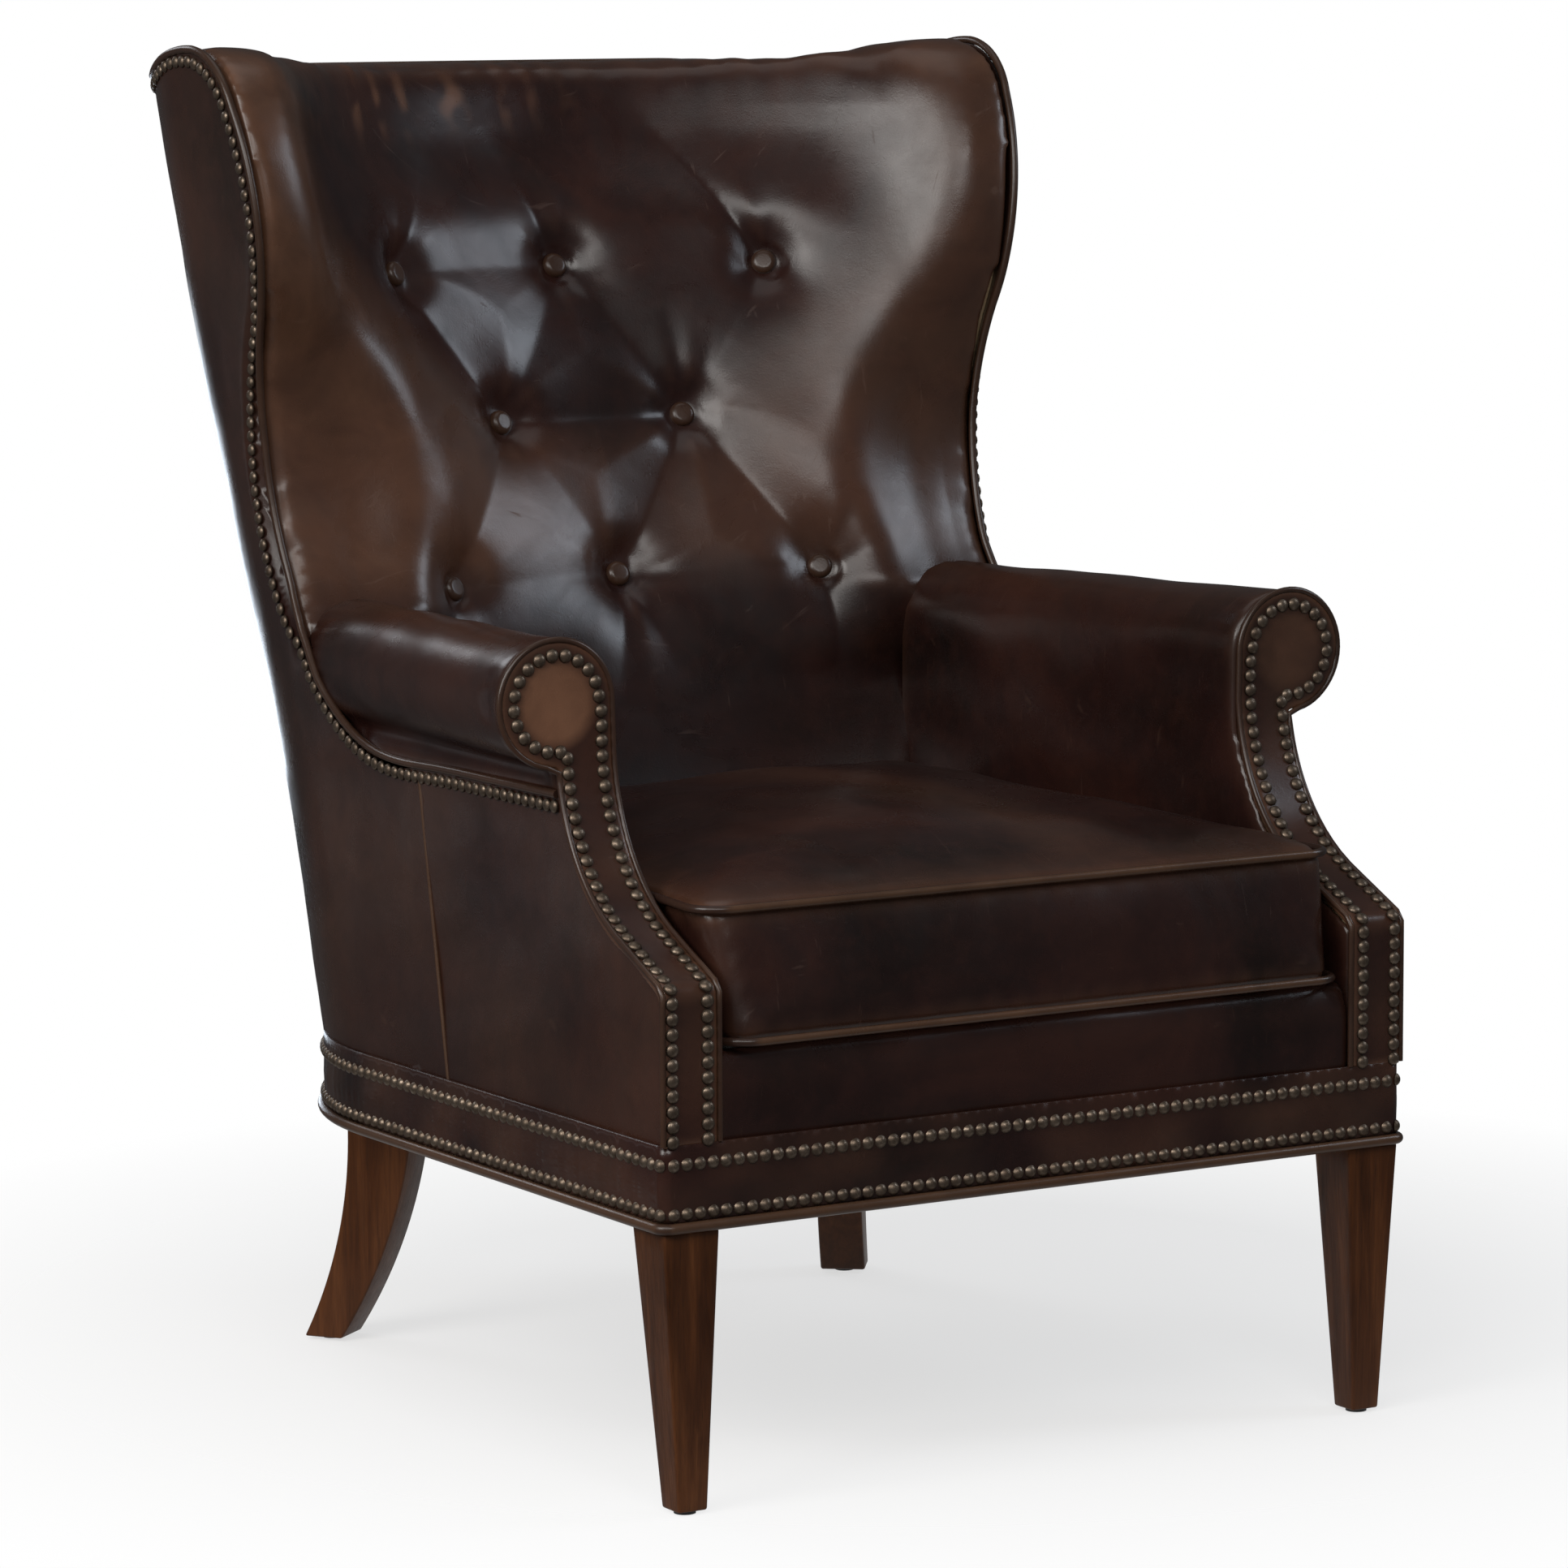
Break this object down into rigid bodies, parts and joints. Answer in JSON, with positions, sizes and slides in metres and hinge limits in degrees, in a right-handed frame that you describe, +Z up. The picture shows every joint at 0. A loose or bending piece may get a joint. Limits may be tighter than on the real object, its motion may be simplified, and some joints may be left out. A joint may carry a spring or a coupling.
{
  "type": "accent chair",
  "caption": "Dark brown leather wing chair with a buttoned barrel back, scroll arms, nail trim, a loose seat cushion and wooden legs.",
  "frame": {"origin": "on the floor under the middle of the chair's outline", "axes": "+X to the right as seen from the front, the chair faces -Y, +Z up"},
  "size_m": [0.83, 0.9409, 1.1601],
  "materials": {
    "leather": "mottled pull-up leather, semi-gloss",
    "piping_leather": "welt leather rubbed lighter on its crown",
    "stained_wood": "walnut stain under satin lacquer",
    "frame_wood": "bare sawn hardwood",
    "antique_brass": "dark antique brass",
    "steel": "plain steel",
    "dark_cloth": "matte woven cloth",
    "padding": "foam wrapped in batting",
    "glide_plastic": "matte"
  },
  "bodies": {
    "chair": {"back_rail": "frame_wood", "back_webbing": "dark_cloth", "base_band": "leather", "base_welt": "piping_leather", "corner_blocks": "frame_wood", "crest_rail": "frame_wood", "deck_cover": "dark_cloth", "deck_pad": "padding", "dust_cover": "dark_cloth", "foot_glides": "glide_plastic", "front_border": "leather", "front_rail": "frame_wood", "inside_back_pad": "leather", "left_arm_facing": "leather", "left_arm_pad": "leather", "left_arm_rail": "frame_wood", "left_back_post": "frame_wood", "left_facing_nails": "antique_brass", "left_front_leg": "stained_wood", "left_front_post": "frame_wood", "left_outside_arm_panel": "leather", "left_rear_leg": "stained_wood", "left_side_rail": "frame_wood", "left_wing_post": "frame_wood", "leg_bolts": "steel", "lower_back_rail": "frame_wood", "lower_base_nails": "antique_brass", "outside_back_panel": "leather", "rear_seat_rail": "frame_wood", "right_arm_facing": "leather", "right_arm_pad": "leather", "right_arm_rail": "frame_wood", "right_back_post": "frame_wood", "right_facing_nails": "antique_brass", "right_front_leg": "stained_wood", "right_front_post": "frame_wood", "right_outside_arm_panel": "leather", "right_rear_leg": "stained_wood", "right_side_rail": "frame_wood", "right_wing_post": "frame_wood", "seat_springs": "steel", "spring_clips": "steel", "tufting_buttons": "leather", "upper_base_nails": "antique_brass"},
    "cushion": {"cushion_cover": "leather", "cushion_core": "padding", "cushion_top_welt": "piping_leather", "cushion_bottom_welt": "piping_leather", "zipper_tape": "dark_cloth"},
    "slider": {"zipper_slider": "steel"}
  },
  "joints": [
    {"name": "cushion_lift", "type": "slide", "parent": "chair", "child": "cushion", "axis": [0, 0, 1], "range_m": [0, 0.25]},
    {"name": "zipper_slide", "type": "slide", "parent": "cushion", "child": "slider", "axis": [1, 0, 0], "range_m": [0, 0.38]}
  ]
}
